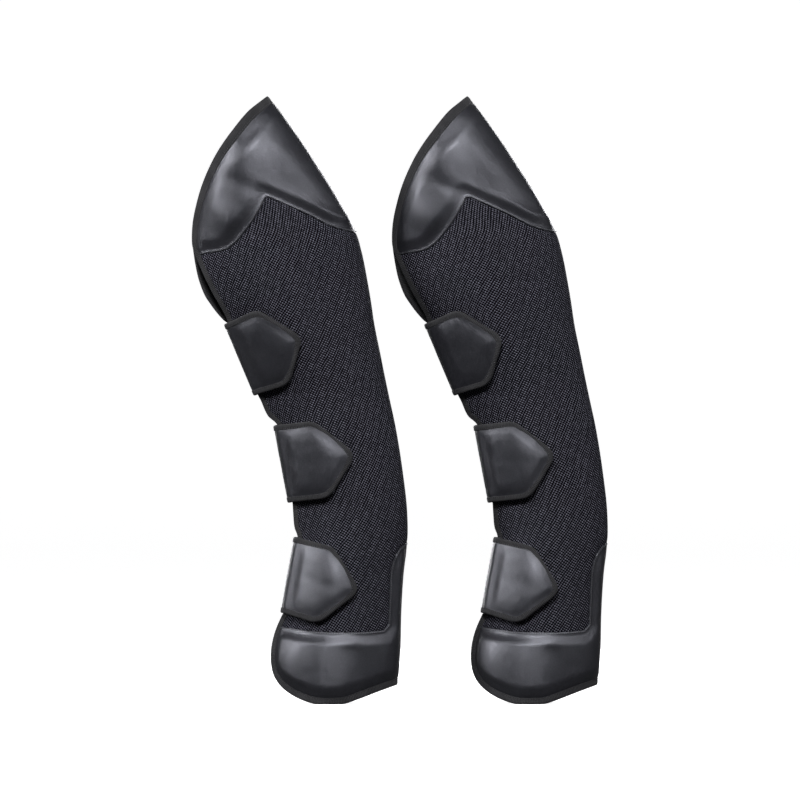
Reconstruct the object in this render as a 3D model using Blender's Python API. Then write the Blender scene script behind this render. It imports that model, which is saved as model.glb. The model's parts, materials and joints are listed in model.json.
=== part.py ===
"""A pair of long hind travel boots for a horse, standing upright on their bottom rims.

Each boot is two quilted halves sewn together along a curved spine (+X side) and
open along the other edge (-X side). A half is an outer skin in three panels
(leather top cap, spacer mesh, leather hoof cap), foam, a lining, and a binding
tape round its free edge. Three straps are sewn to the inner half (+Y), pass
round the open edge and close on the outer half (-Y) with hook and loop.

Frame: +Z up, the outer halves face -Y, origin on the floor midway between the
boots. Units: metres.
"""
import math

import bmesh
import bpy
import numpy as np
from mathutils import Matrix, Vector

# ---------------------------------------------------------------- dimensions
BOOT_SPACING = 0.2145          # from one boot to the other, along X
PAIR_SHIFT = 0.00315           # puts the middle of the pair's box on x = 0
HALF_GAP = 0.0006              # each half starts this far from the plane y = 0
SKIN = 0.0016                  # outer skin thickness
FOAM = 0.0060
LINING = 0.0014
LAYER_GAP = 0.0003             # between neighbouring layers and panels
EDGE_PINCH = 0.45              # laminate thickness left at the open edge
PINCH_STATION = 1.6            # the laminate starts to thin here
PINCH_SPREAD = 0.32            # and is at its thinnest this much further round
BINDING_WIDTH = 0.0070
BINDING_PROUD = 0.0005         # binding stands above the skin and the lining
EDGE_MARGIN = 0.0060           # tube surface carried on past the open edge
EDGE_DEPTH = 0.0020            # half-depth of the tube at that carried-on edge
LENS_POWER = 1.7               # how blunt the section is on the open side

# Leg tube, one row per height: z, spine x, open edge x, half-depth.
TUBE_ROWS = (
    (-0.016, 0.1035, -0.0440, 0.0590),
    (0.006, 0.1043, -0.0370, 0.0580),
    (0.030, 0.1050, -0.0345, 0.0565),
    (0.060, 0.1068, -0.0318, 0.0540),
    (0.097, 0.1077, -0.0195, 0.0500),
    (0.140, 0.1103, -0.0105, 0.0465),
    (0.178, 0.1147, -0.0045, 0.0440),
    (0.205, 0.1144, -0.0088, 0.0428),
    (0.248, 0.1095, -0.0160, 0.0418),
    (0.298, 0.1016, -0.0260, 0.0415),
    (0.326, 0.0957, -0.0430, 0.0423),
    (0.368, 0.0869, -0.0610, 0.0455),
    (0.408, 0.0788, -0.0780, 0.0500),
    (0.430, 0.0756, -0.0955, 0.0525),
    (0.450, 0.0722, -0.1070, 0.0542),
    (0.486, 0.0650, -0.1158, 0.0560),
    (0.504, 0.0598, -0.1180, 0.0562),
    (0.530, 0.0463, -0.1205, 0.0560),
    (0.590, 0.0090, -0.1215, 0.0510),
    (0.668, -0.0463, -0.1215, 0.0410),
)
# Stations round a half, 0 on the spine, 1 at full depth, 2 on the open edge.
ROUND_STATIONS = (0.0, 0.3, 0.62, 1.0, 1.3, 1.6, 1.8, 2.0)

# Free rim of a half in the XZ plane, from past the spine at the bottom, along
# the floor and up the open edge; then the stretch over the top strap, where the
# inner half shows past the outer one; then over to past the peak of the spine.
RIM_BELOW = (
    (0.135, 0.0290), (0.105, 0.0204), (0.083, 0.0132), (0.064, 0.0062), (0.048, 0.0),
    (0.018, 0.0), (0.0066, 0.0026), (-0.0067, 0.0080), (-0.0191, 0.0166),
    (-0.0261, 0.0252), (-0.0300, 0.0338), (-0.0320, 0.0460), (-0.0314, 0.0600),
    (-0.0276, 0.0767), (-0.0203, 0.0939), (-0.0170, 0.1000), (-0.0066, 0.1450),
    (-0.0030, 0.1780), (-0.0070, 0.1882), (-0.0080, 0.2050), (-0.0086, 0.2140),
    (-0.0125, 0.2480), (-0.0248, 0.2980), (-0.0352, 0.3084), (-0.0428, 0.3250),
    (-0.0460, 0.3310), (-0.0605, 0.3680), (-0.0772, 0.4060),
)
RIM_OVER_STRAP = {
    "outer": ((-0.0800, 0.4140), (-0.0882, 0.4290), (-0.0950, 0.4410), (-0.1010, 0.4530),
              (-0.1074, 0.4670), (-0.1123, 0.4790)),
    "inner": ((-0.0830, 0.4110), (-0.0910, 0.4200), (-0.0972, 0.4285), (-0.1028, 0.4371),
              (-0.1094, 0.4543), (-0.1132, 0.4714)),
}
RIM_ABOVE = (
    (-0.1158, 0.4890), (-0.1166, 0.4975), (-0.1157, 0.5143), (-0.1125, 0.5315),
    (-0.1050, 0.5573), (-0.0933, 0.5830), (-0.0826, 0.6001), (-0.0694, 0.6173),
    (-0.0546, 0.6344), (-0.0349, 0.6508), (-0.0100, 0.6740),
)

# Seams between the skin panels in the XZ plane, from the open edge to the spine.
TOP_SEAM = (
    (-0.150, 0.4740), (-0.1035, 0.4816), (-0.0767, 0.4875), (-0.0552, 0.5100),
    (-0.0424, 0.5304), (-0.0359, 0.5427), (-0.0145, 0.5336), (0.0091, 0.5229),
    (0.0327, 0.5111), (0.0617, 0.5036), (0.110, 0.4960),
)
HOOF_SEAM = (
    (-0.060, 0.0880), (-0.0172, 0.0821), (0.0166, 0.0778), (0.0692, 0.0771),
    (0.0900, 0.0790), (0.0945, 0.0850), (0.0960, 0.1282), (0.0975, 0.1450),
    (0.1019, 0.1582), (0.1099, 0.1695), (0.140, 0.1850),
)

# Straps: top and bottom of the fold at the open edge, then how far the
# shoulders and the tip of the tab reach from that fold.
STRAPS = (
    ((-0.0829, 0.4060), (-0.0509, 0.3298), 0.0405, 0.0710),
    ((-0.0300, 0.2976), (-0.0145, 0.2151), 0.0430, 0.0785),
    ((-0.0080, 0.1786), (-0.0220, 0.0992), 0.0432, 0.0772),
)
TIP_PLACE = 0.55               # tip position along the fold, from the top
SHOULDER_LEAN = 0.004          # shoulders sit this much lower than the fold ends
TAB_CORNER = 0.008             # corner radius of the tab
TAB_LOW = 0.0046               # tab's inner face above the skin
TAB_THICK = 0.0040
TAB_BINDING = 0.0058           # width of the binding round the tab
HINGE_REACH = 0.0062           # fold hinge, from the fold's outermost line
HINGE_GAP = 0.0009             # between the tab and the base at the fold hinge
BASE_THICK = 0.0022            # strap leather where it goes round the edge
BASE_LIFT = 0.0009             # sewn base above the inner half's skin
BASE_REACH = 0.050             # far edge of the sewn base, from the fold
BASE_START = 0.0080            # the base lies on the inner half from here on
END_TRIM = 0.0008              # the base is this much shorter than the tab
PATCH_THICK = 0.0012           # hook and loop patches
LOOP_LIFT = 0.0008             # loop patch above the outer half's skin
HOOK_GAP = 0.0003              # between the hook patch and its tab
PATCH_TRIM = 0.016             # patches stop this far from the strap's sides
TAB_STEP = 0.0128              # spacing of the tab's cross stations
TAB_STEPS = 8
TAB_OVERLAP = 0.020            # tab outline carried on past the fold
TIP_TRIM = 1.25                # the tip draws in this much faster than the sides
SHOULDER_TRIM = 0.5
RULE_ABOVE = 0.010             # tab surface is ruled from here above the fold
RULE_BELOW = 0.012             # to here below it
WRAP_STEPS = 7                 # of the base's bend round the open edge
WRAP_HANDLE = 0.9              # how square that bend is
WRAP_OUT = 1 / 6               # how far it stands out from the edge
BASE_STATIONS = (0.020, 0.034, BASE_REACH)
PATCH_STATIONS = slice(1, 4)   # cross stations of the tab that the patches use

CUTTER_DEPTH = 0.15            # cutters reach this far across Y
CUTTER_START = 0.02            # from this far on the other side of y = 0
SHARP_ANGLE = math.radians(35)

OUTER = -1                     # side of the plane y = 0 that a half is on
INNER = 1
LAMINATE = SKIN + FOAM + LINING + 2 * LAYER_GAP


# ------------------------------------------------------------------- helpers
def clear_scene():
    for item in list(bpy.data.objects):
        bpy.data.objects.remove(item, do_unlink=True)


def collection(name, cutters=False):
    group = bpy.data.collections.new(name)
    bpy.context.scene.collection.children.link(group)
    group.hide_render = cutters
    return group


def material(name, colour, roughness, metallic=0.0):
    made = bpy.data.materials.new(name)
    made.use_nodes = True
    shader = made.node_tree.nodes["Principled BSDF"]
    shader.inputs["Base Color"].default_value = (*colour, 1.0)
    shader.inputs["Roughness"].default_value = roughness
    shader.inputs["Metallic"].default_value = metallic
    made.diffuse_color = (*colour, 1.0)
    return made


def tube_row(z):
    """Spine x, carried-on edge x and half-depth of the leg tube at a height."""
    heights = [row[0] for row in TUBE_ROWS]
    spine = np.interp(z, heights, [row[1] for row in TUBE_ROWS])
    edge = np.interp(z, heights, [row[2] for row in TUBE_ROWS])
    depth = np.interp(z, heights, [row[3] for row in TUBE_ROWS])
    return spine, edge - EDGE_MARGIN, depth


def tube_point(station, z):
    """Point of the outer half's outside surface."""
    spine, edge, depth = tube_row(z)
    if station <= 1.0:
        turn = station * math.pi / 2
        across = 0.5 + 0.5 * math.cos(turn)
        y = depth * math.sin(turn)
    else:
        across = 1.0 - station / 2
        y = depth - (depth - EDGE_DEPTH) * (station - 1.0) ** LENS_POWER
    return Vector((edge + (spine - edge) * across, -HALF_GAP - y, z))


def outward(point_at, u, v, du=0.02, dv=0.004):
    """Outward unit normal of a surface point_at(u, v) of the outer half."""
    along = point_at(u + du, v) - point_at(u - du, v)
    up = point_at(u, v + dv) - point_at(u, v - dv)
    normal = up.cross(along)
    return normal.normalized()


def tube_offset(station, z, offset):
    """Tube point moved out by offset; inward moves are pinched at the edge."""
    normal = outward(tube_point, station, z)
    if offset < 0 and station > PINCH_STATION:
        fade = min(1.0, (station - PINCH_STATION) / PINCH_SPREAD)
        fade = fade * fade * (3 - 2 * fade)
        offset *= 1.0 - (1.0 - EDGE_PINCH) * fade
    moved = tube_point(station, z) + normal * offset
    if station == 0.0:
        moved.y = -HALF_GAP
    moved.y = min(moved.y, -HALF_GAP)
    return moved


def height_point(x, z):
    """Point of the tube's outside surface above a place in the XZ plane."""
    spine, edge, depth = tube_row(z)
    across = (x - edge) / (spine - edge)
    if across >= 0.5:
        reach = min(1.0, 2 * across - 1.0)
        y = depth * math.sqrt(1.0 - reach * reach)
    else:
        reach = 1.0 - 2 * across
        y = depth - (depth - EDGE_DEPTH) * abs(reach) ** LENS_POWER
    return Vector((x, -HALF_GAP - y, z))


def slab(name, point, columns, rows, low, high, side, group):
    """Closed loft between two offsets of the surface point(u, v, offset)."""
    shape = bmesh.new()
    sheets = []
    for offset in (high, low):
        grid = []
        for v in rows:
            line = []
            for u in columns:
                place = point(u, v, offset)
                line.append(shape.verts.new((place.x, -side * place.y, place.z)))
            grid.append(line)
        sheets.append(grid)
    top, under = sheets
    last_row = len(rows) - 1
    last_column = len(columns) - 1
    for i in range(last_row):
        for j in range(last_column):
            shape.faces.new((top[i][j], top[i][j + 1], top[i + 1][j + 1], top[i + 1][j]))
            shape.faces.new((under[i][j], under[i + 1][j], under[i + 1][j + 1], under[i][j + 1]))
    for i in range(last_row):
        for j in (0, last_column):
            shape.faces.new((top[i][j], top[i + 1][j], under[i + 1][j], under[i][j]))
    for j in range(last_column):
        for i in (0, last_row):
            shape.faces.new((top[i][j], top[i][j + 1], under[i][j + 1], under[i][j]))
    bmesh.ops.triangulate(shape, faces=shape.faces)
    bmesh.ops.recalc_face_normals(shape, faces=shape.faces)
    mesh = bpy.data.meshes.new(name)
    shape.to_mesh(mesh)
    shape.free()
    made = bpy.data.objects.new(name, mesh)
    group.objects.link(made)
    return made


def inset(path, distance):
    """Path moved to its right-hand side (into the half) by a distance."""
    moved = []
    for i, place in enumerate(path):
        before = path[max(i - 1, 0)]
        after = path[min(i + 1, len(path) - 1)]
        run = (after - before).normalized()
        moved.append(place + Vector((run.y, -run.x)) * distance)
    return moved


def rim_path(tag):
    """Free rim of the outer or the inner half."""
    return [Vector(place) for place in RIM_BELOW + RIM_OVER_STRAP[tag] + RIM_ABOVE]


def prism(name, outline, side, group):
    """Cutter: an outline in the XZ plane, deep enough for one half or a strap."""
    shape = bmesh.new()
    face = shape.faces.new([shape.verts.new((p[0], 0.0, p[1])) for p in outline])
    grown = bmesh.ops.extrude_face_region(shape, geom=[face])
    moved = [item for item in grown["geom"] if isinstance(item, bmesh.types.BMVert)]
    bmesh.ops.translate(shape, verts=moved, vec=(0.0, side * CUTTER_DEPTH, 0.0))
    back = (0.0, -side * CUTTER_START, 0.0)
    bmesh.ops.translate(shape, verts=shape.verts[:], vec=back)
    bmesh.ops.triangulate(shape, faces=shape.faces)
    bmesh.ops.recalc_face_normals(shape, faces=shape.faces)
    mesh = bpy.data.meshes.new(name)
    shape.to_mesh(mesh)
    shape.free()
    made = bpy.data.objects.new(name, mesh)
    made.hide_render = True
    made.display_type = "WIRE"
    group.objects.link(made)
    return made


def cut(target, cutter, operation):
    step = target.modifiers.new(operation.lower(), "BOOLEAN")
    step.operation = operation
    step.solver = "EXACT"
    step.object = cutter


def settle(target):
    """Apply an object's modifiers, so that copies can share its mesh."""
    bpy.context.view_layer.update()
    seen = target.evaluated_get(bpy.context.evaluated_depsgraph_get())
    mesh = bpy.data.meshes.new_from_object(seen)
    target.modifiers.clear()
    target.data = mesh
    mesh.shade_smooth()
    mesh.set_sharp_from_angle(angle=SHARP_ANGLE)


# --------------------------------------------------------------- boot halves
def seam_zone(lower, upper):
    """Outline of the region between two seams."""
    return list(lower) + list(reversed(upper))


def shifted(seam, dx, dz):
    return [(x + dx, z + dz) for x, z in seam]


def make_half(tag, side, mats, parts, cutters):
    """The six pieces of one half, as (object, material) pairs."""
    rows = [row[0] for row in TUBE_ROWS]
    rim = rim_path(tag)
    whole = prism(f"cut_{tag}_rim", rim, side, cutters)
    inner_rim = prism(f"cut_{tag}_binding", inset(rim, BINDING_WIDTH), side, cutters)
    body_rim = prism(f"cut_{tag}_body", inset(rim, BINDING_WIDTH + LAYER_GAP), side, cutters)
    floor = ((-0.2, -0.05), (0.2, -0.05))
    ceiling = ((-0.2, 0.75), (0.2, 0.75))
    zones = {
        "top_cap": seam_zone(TOP_SEAM, ceiling),
        "mesh_panel": seam_zone(shifted(HOOF_SEAM, -LAYER_GAP, LAYER_GAP),
                                shifted(TOP_SEAM, 0, -LAYER_GAP)),
        "hoof_cap": seam_zone(floor, HOOF_SEAM),
    }
    made = []
    for panel, outline in zones.items():
        skin = slab(f"{tag}_{panel}", tube_offset, ROUND_STATIONS, rows, -SKIN, 0.0, side, parts)
        cut(skin, body_rim, "INTERSECT")
        cut(skin, prism(f"cut_{tag}_{panel}", outline, side, cutters), "INTERSECT")
        made.append((skin, mats["mesh" if panel == "mesh_panel" else "leather"]))
    foam_top = -SKIN - LAYER_GAP
    foam = slab(f"{tag}_foam", tube_offset, ROUND_STATIONS, rows,
                foam_top - FOAM, foam_top, side, parts)
    cut(foam, body_rim, "INTERSECT")
    made.append((foam, mats["foam"]))
    lining_top = foam_top - FOAM - LAYER_GAP
    lining = slab(f"{tag}_lining", tube_offset, ROUND_STATIONS, rows,
                  lining_top - LINING, lining_top, side, parts)
    cut(lining, body_rim, "INTERSECT")
    made.append((lining, mats["lining"]))
    binding = slab(f"{tag}_binding", tube_offset, ROUND_STATIONS, rows,
                   -LAMINATE - BINDING_PROUD, BINDING_PROUD, side, parts)
    cut(binding, whole, "INTERSECT")
    cut(binding, inner_rim, "DIFFERENCE")
    made.append((binding, mats["binding"]))
    return made


# -------------------------------------------------------------------- straps
def strap_frame(strap):
    """Fold start, direction down the fold, direction across the tab, length."""
    start = Vector(strap[0])
    run = Vector(strap[1]) - start
    length = run.length
    down = run / length
    return start, down, Vector((-down.y, down.x)), length


def strap_point(strap, ends):
    """Surface of a strap, ruled straight between two places along the fold."""
    start, down, across, _ = strap_frame(strap)

    def at(p, q, offset):
        def surface(u, v):
            flat = start + across * u + down * v
            return height_point(flat.x, flat.y)

        def end_point(v):
            return surface(p, v) + outward(surface, p, v, 0.002, 0.004) * offset

        mix = (q - ends[0]) / (ends[1] - ends[0])
        return end_point(ends[0]).lerp(end_point(ends[1]), mix)

    return at


def tab_ends(strap):
    length = strap_frame(strap)[3]
    return -RULE_ABOVE, length + RULE_BELOW


def hinge_line(strap):
    """Both ends of the strap's fold axis, on the outside of the leather."""
    ends = tab_ends(strap)
    length = strap_frame(strap)[3]
    at = strap_point(strap, ends)
    reach = hinge_reach(strap) - HINGE_GAP / 2
    return at(reach, 0.0, TAB_LOW + TAB_THICK), at(reach, length, TAB_LOW + TAB_THICK)


def hinge_reach(strap):
    """Surface station whose leather top lies HINGE_REACH from the fold line."""
    start, _, across, length = strap_frame(strap)
    at = strap_point(strap, tab_ends(strap))
    low, high = 0.0, 0.03
    for _ in range(30):
        middle = (low + high) / 2
        top = at(middle, length / 2, TAB_LOW + TAB_THICK)
        if (Vector((top.x, top.z)) - start).dot(across) < HINGE_REACH:
            low = middle
        else:
            high = middle
    return high


def rounded(corners, radius, steps=3):
    """Closed outline with its listed corners rounded; a None radius is sharp."""
    outline = []
    count = len(corners)
    for i, corner in enumerate(corners):
        place = Vector(corner)
        if radius[i] is None:
            outline.append(place)
            continue
        before = (Vector(corners[i - 1]) - place).normalized()
        after = (Vector(corners[(i + 1) % count]) - place).normalized()
        half_angle = before.angle(after) / 2
        reach = radius[i] / math.tan(half_angle)
        start = place + before * reach
        end = place + after * reach
        for k in range(steps + 1):
            t = k / steps
            outline.append(start * (1 - t) ** 2 + place * 2 * t * (1 - t) + end * t * t)
    return outline


def tab_outline(strap, shrink):
    """Pentagon of a tab in the XZ plane, smaller by shrink on its free edges."""
    start, down, across, length = strap_frame(strap)
    shoulder, tip = strap[2], strap[3]
    lean = SHOULDER_LEAN
    corners = (
        (-TAB_OVERLAP, shrink),
        (shoulder - shrink * SHOULDER_TRIM, lean + shrink),
        (tip - shrink * TIP_TRIM, TIP_PLACE * length),
        (shoulder - shrink * SHOULDER_TRIM, length + lean / 2 - shrink),
        (-TAB_OVERLAP, length - shrink),
    )
    bend = max(TAB_CORNER - shrink, TAB_CORNER / 4)
    outline = rounded(corners, (None, bend, bend, bend, None))
    return [start + across * p.x + down * p.y for p in outline]


def base_path(strap, q):
    """Outer face of the sewn base at one place along the fold, as points."""
    start, down, across, length = strap_frame(strap)
    front = strap_point(strap, tab_ends(strap))
    reach = hinge_reach(strap) - HINGE_GAP
    first = front(reach, q, TAB_LOW + TAB_THICK)
    origin = start + down * q

    def local(place):
        flat = Vector((place.x, place.z)) - origin
        return flat.dot(across), place.y, flat.dot(down)

    def world(p, y, r):
        flat = origin + across * p + down * r
        return Vector((flat.x, y, flat.y))

    back = front(BASE_START, q, BASE_LIFT + BASE_THICK)
    back.y = -back.y
    p_a, y_a, r_a = local(first)
    p_b, y_b, r_b = local(back)
    middle = -(p_a + p_b) * WRAP_OUT
    handles = (
        Vector((p_a, y_a, r_a)),
        Vector((middle, y_a + (p_a - middle) * WRAP_HANDLE, r_a)),
        Vector((middle, y_b - (p_b - middle) * WRAP_HANDLE, r_b)),
        Vector((p_b, y_b, r_b)),
    )
    points = []
    for k in range(WRAP_STEPS + 1):
        t = k / WRAP_STEPS
        s = 1 - t
        bend = handles[0] * s ** 3 + handles[1] * 3 * s * s * t
        bend += handles[2] * 3 * s * t * t + handles[3] * t ** 3
        points.append(world(*bend))
    for p in BASE_STATIONS:
        place = front(p, q, BASE_LIFT + BASE_THICK)
        place.y = -place.y
        points.append(place)
    return points


def make_base(name, strap, group):
    """Strap leather sewn on the inner half and led round the open edge."""
    _, down, _, length = strap_frame(strap)
    axis = Vector((down.x, 0.0, down.y))
    paths = {q: base_path(strap, q) for q in (END_TRIM, length - END_TRIM)}
    steps = len(paths[END_TRIM])

    def point(u, q, offset):
        path = paths[q]
        i = int(u)
        run = path[min(i + 1, steps - 1)] - path[max(i - 1, 0)]
        normal = axis.cross(run).normalized()
        return path[i] - normal * offset

    return slab(name, point, list(range(steps)), list(paths), -BASE_THICK, 0.0, OUTER, group)


def make_strap(tag, strap, mats, parts, cutters):
    """Base, tab, tab binding and both closure patches of one strap."""
    length = strap_frame(strap)[3]
    ends = tab_ends(strap)
    at = strap_point(strap, ends)
    reach = hinge_reach(strap)
    columns = [reach + step * TAB_STEP for step in range(TAB_STEPS)]
    top = TAB_LOW + TAB_THICK
    full = prism(f"cut_{tag}_tab", tab_outline(strap, 0.0), OUTER, cutters)
    core = prism(f"cut_{tag}_core", tab_outline(strap, TAB_BINDING + LAYER_GAP), OUTER, cutters)
    ring = prism(f"cut_{tag}_ring", tab_outline(strap, TAB_BINDING), OUTER, cutters)
    tab = slab(f"{tag}_tab", at, columns, ends, TAB_LOW, top, OUTER, parts)
    cut(tab, core, "INTERSECT")
    binding = slab(f"{tag}_tab_binding", at, columns, ends, TAB_LOW, top, OUTER, parts)
    cut(binding, full, "INTERSECT")
    cut(binding, ring, "DIFFERENCE")
    patch_columns = columns[PATCH_STATIONS]
    patch_rows = (PATCH_TRIM, length - PATCH_TRIM)
    loop = slab(f"{tag}_loop_patch", at, patch_columns, patch_rows,
                LOOP_LIFT, LOOP_LIFT + PATCH_THICK, OUTER, parts)
    hook_top = TAB_LOW - HOOK_GAP
    hook = slab(f"{tag}_hook_patch", at, patch_columns, patch_rows,
                hook_top - PATCH_THICK, hook_top, OUTER, parts)
    base = make_base(f"{tag}_base", strap, parts)
    moving = [(tab, mats["leather"]), (binding, mats["binding"]), (hook, mats["hook"])]
    fixed = [(base, mats["leather"]), (loop, mats["loop"])]
    return moving, fixed


# ------------------------------------------------------------------ assembly
def empty(name, place, parent, group):
    made = bpy.data.objects.new(name, None)
    made.empty_display_size = 0.03
    made.location = place
    made.parent = parent
    group.objects.link(made)
    return made


def place_pieces(pieces, boots, group):
    """Give each boot its copy of the pieces: (object, material, pivot, place)."""
    for item, finish, pivot, place in pieces:
        settle(item)
        item.data.materials.clear()
        item.data.materials.append(finish)
        item.data.transform(Matrix.Translation(-place))
        name = item.name
        for boot, holders in boots.items():
            copy = bpy.data.objects.new(f"{boot}_{name}", item.data)
            copy.parent = holders[pivot]
            group.objects.link(copy)
        bpy.data.objects.remove(item, do_unlink=True)


def main():
    clear_scene()
    parts = collection("travel_boots")
    cutters = collection("cutters", cutters=True)
    mats = {
        "leather": material("leather_black", (0.035, 0.036, 0.042), 0.42),
        "mesh": material("spacer_mesh_black", (0.012, 0.012, 0.015), 0.85),
        "binding": material("binding_tape_black", (0.028, 0.028, 0.030), 0.75),
        "foam": material("foam_grey", (0.18, 0.18, 0.19), 0.95),
        "lining": material("lining_charcoal", (0.03, 0.03, 0.034), 0.95),
        "hook": material("hook_tape_black", (0.02, 0.02, 0.02), 0.7),
        "loop": material("loop_tape_black", (0.02, 0.02, 0.022), 0.95),
    }
    boots = {}
    for boot, away in (("left", -0.5), ("right", 0.5)):
        place = (PAIR_SHIFT + away * BOOT_SPACING, 0.0, 0.0)
        frame = empty(f"{boot}_boot_frame", place, None, parts)
        boots[boot] = {"frame": frame}
    pieces = []
    origin = Vector((0.0, 0.0, 0.0))
    for tag, side in (("outer", OUTER), ("inner", INNER)):
        for item, finish in make_half(tag, side, mats, parts, cutters):
            pieces.append((item, finish, "frame", origin))
    for number, strap in enumerate(STRAPS, start=1):
        tag = f"strap_{number}"
        upper, lower = hinge_line(strap)
        middle = (upper + lower) / 2
        for boot, holders in boots.items():
            pivot = empty(f"{boot}_{tag}_fold", middle, holders["frame"], parts)
            holders[tag] = pivot
        moving, fixed = make_strap(tag, strap, mats, parts, cutters)
        for item, finish in moving:
            pieces.append((item, finish, tag, middle))
        for item, finish in fixed:
            pieces.append((item, finish, "frame", origin))
    place_pieces(pieces, boots, parts)


main()
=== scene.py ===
import json
import math

import bpy
import numpy as np
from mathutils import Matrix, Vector
from mathutils.geometry import delaunay_2d_cdt


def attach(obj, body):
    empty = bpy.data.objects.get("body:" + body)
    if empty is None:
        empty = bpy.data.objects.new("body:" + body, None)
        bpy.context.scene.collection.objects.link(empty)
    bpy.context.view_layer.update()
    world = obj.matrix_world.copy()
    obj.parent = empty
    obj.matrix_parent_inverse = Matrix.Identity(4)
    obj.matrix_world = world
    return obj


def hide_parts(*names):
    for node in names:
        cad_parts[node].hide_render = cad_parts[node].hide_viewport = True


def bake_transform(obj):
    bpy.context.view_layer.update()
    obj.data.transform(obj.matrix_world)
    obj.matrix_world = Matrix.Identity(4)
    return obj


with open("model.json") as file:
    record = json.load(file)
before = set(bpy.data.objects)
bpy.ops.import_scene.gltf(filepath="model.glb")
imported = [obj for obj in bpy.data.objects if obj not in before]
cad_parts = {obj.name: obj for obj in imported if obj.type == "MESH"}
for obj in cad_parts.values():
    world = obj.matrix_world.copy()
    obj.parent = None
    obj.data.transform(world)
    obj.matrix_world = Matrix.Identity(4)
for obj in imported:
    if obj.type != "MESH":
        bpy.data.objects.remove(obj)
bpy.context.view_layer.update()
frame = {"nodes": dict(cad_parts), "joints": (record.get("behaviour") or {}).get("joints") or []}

MM = 0.001
BLOCK = 4000               # points whose distances are found at once

# ---- sizes shared with the part
BOOT_SPACING = 214.5
PAIR_SHIFT = 3.15
HALF_GAP = 0.15
SKIN = 1.6
LAMINATE = 9.6
EDGE_MARGIN = 6.0
EDGE_DEPTH = 2.0
LENS_POWER = 1.7
EDGE_PINCH = 0.45
BINDING = 7.0
TUBE_ROWS = np.array((
    (-16, 103.5, -44.0, 59.0), (6, 104.3, -37.0, 58.0), (30, 105.0, -34.5, 56.5),
    (60, 106.8, -31.8, 54.0), (97, 107.7, -19.5, 50.0), (140, 110.3, -10.5, 46.5),
    (178, 114.7, -4.5, 44.0), (205, 114.4, -8.8, 42.8), (248, 109.5, -16.0, 41.8),
    (298, 101.6, -26.0, 41.5), (326, 95.7, -43.0, 42.3), (368, 86.9, -61.0, 45.5),
    (408, 78.8, -78.0, 50.0), (430, 75.6, -95.5, 52.5), (450, 72.2, -107.0, 54.2),
    (486, 65.0, -115.8, 56.0), (504, 59.8, -118.0, 56.2), (530, 46.3, -120.5, 56.0),
    (590, 9.0, -121.5, 51.0), (668, -46.3, -121.5, 41.0),
))
RIM_BELOW = (
    (135, 29), (105, 20.4), (83, 13.2), (64, 6.2), (48, 1.0), (33, -0.2), (18, 0.4),
    (6.6, 3.0), (-6.7, 8.4), (-19.1, 16.8), (-26.1, 25.2), (-30, 33.8), (-32, 46),
    (-31.4, 60), (-27.6, 76.7), (-20.3, 93.9), (-17, 100), (-6.6, 145), (-3.2, 178),
    (-6.6, 189), (-8.0, 205), (-8.6, 214), (-12.5, 248), (-24.8, 298), (-35.2, 308.4),
    (-42.8, 325), (-46, 331), (-60.5, 368), (-77.2, 406),
)
RIM_OVER_STRAP = {
    "outer": ((-80, 414), (-88.2, 429), (-95, 441), (-101, 453), (-107.4, 467), (-112.3, 479)),
    "inner": ((-83, 411), (-91, 420), (-97.2, 428.5), (-102.8, 437.1), (-109.4, 454.3),
              (-113.2, 471.4)),
}
RIM_ABOVE = (
    (-115.8, 489), (-116.6, 497.5), (-115.7, 514.3), (-112.5, 531.5), (-105, 557.3),
    (-93.3, 583), (-82.6, 600.1), (-69.4, 617.3), (-54.6, 634.4), (-34.9, 650.8), (-10, 674),
)
TOP_SEAM = (
    ((-150, 474), (-103.5, 481.6), (-76.7, 487.5), (-55.2, 510), (-42.4, 530.4), (-36.9, 541.2)),
    ((-34.2, 542.3), (-14.5, 533.6), (9.1, 522.9), (32.7, 511.1), (61.7, 503.6), (110, 496)),
)
HOOF_SEAM = (
    ((-60, 88), (-17.2, 82.1), (16.6, 77.8), (69.2, 77.1), (89.0, 78.8)),
    ((94.3, 85), (96, 128.2), (97.5, 145), (101.9, 158.2), (109.9, 169.5), (140, 185)),
)
STRAPS = (
    ((-82.9, 406.0), (-50.9, 329.8), 40.5, 71.0),
    ((-30.0, 297.6), (-14.5, 215.1), 43.0, 78.5),
    ((-8.0, 178.6), (-22.0, 99.2), 43.2, 77.2),
)
# How far the upper and lower shoulder of each tab swell past its straight
# sides, along and across the strap, and how far its lower end drops.
STRAP_FULLNESS = (
    ((4.0, 5.0), (3.0, 2.0), 0.0),
    ((4.0, 1.5), (7.0, 1.5), 0.5),
    ((4.0, 1.5), (6.0, 4.5), 2.5),
)
TIP_PLACE = 0.55
SHOULDER_LEAN = 4.0
TAB_LOW = 4.6
TAB_THICK = 4.0
TAB_BINDING = 5.8
HINGE_REACH = 6.2
HINGE_GAP = 0.9
BASE_THICK = 2.2
BASE_LIFT = 0.9
BASE_REACH = 50.0
BASE_START = 8.0
OUTER, INNER = -1, 1
BOOTS = ("left", "right")

# ---- visual details
SMOOTH_ANGLE = 50          # edges sharper than this stay hard
HALF_PIECES = (    # part, name of its piece, material, CAD nodes it replaces, fill
    ("top_cap", "top_cap_leather", "leather", ("top_cap",), 0.6),
    ("hoof_cap", "hoof_cap_leather", "leather", ("hoof_cap",), 0.6),
    ("mesh_panel", "mesh_cloth", "mesh", ("mesh_panel",), 0.5),
    ("padding", "padding", "lining", ("foam", "lining"), 0.5),
    ("binding", "binding_tape", "tape", ("binding",), None),
    ("stitching", "stitching", "thread", (), None),
    # seam thread: real stitches whose light colour is a painted highlight of the leather's lip
    ("seam_thread_painted_highlight", "seam_stitching_painted_highlight", "seam_thread_painted_highlight", (), None),
)
GRID = 2.7                 # spacing of a panel's inner points
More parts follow.
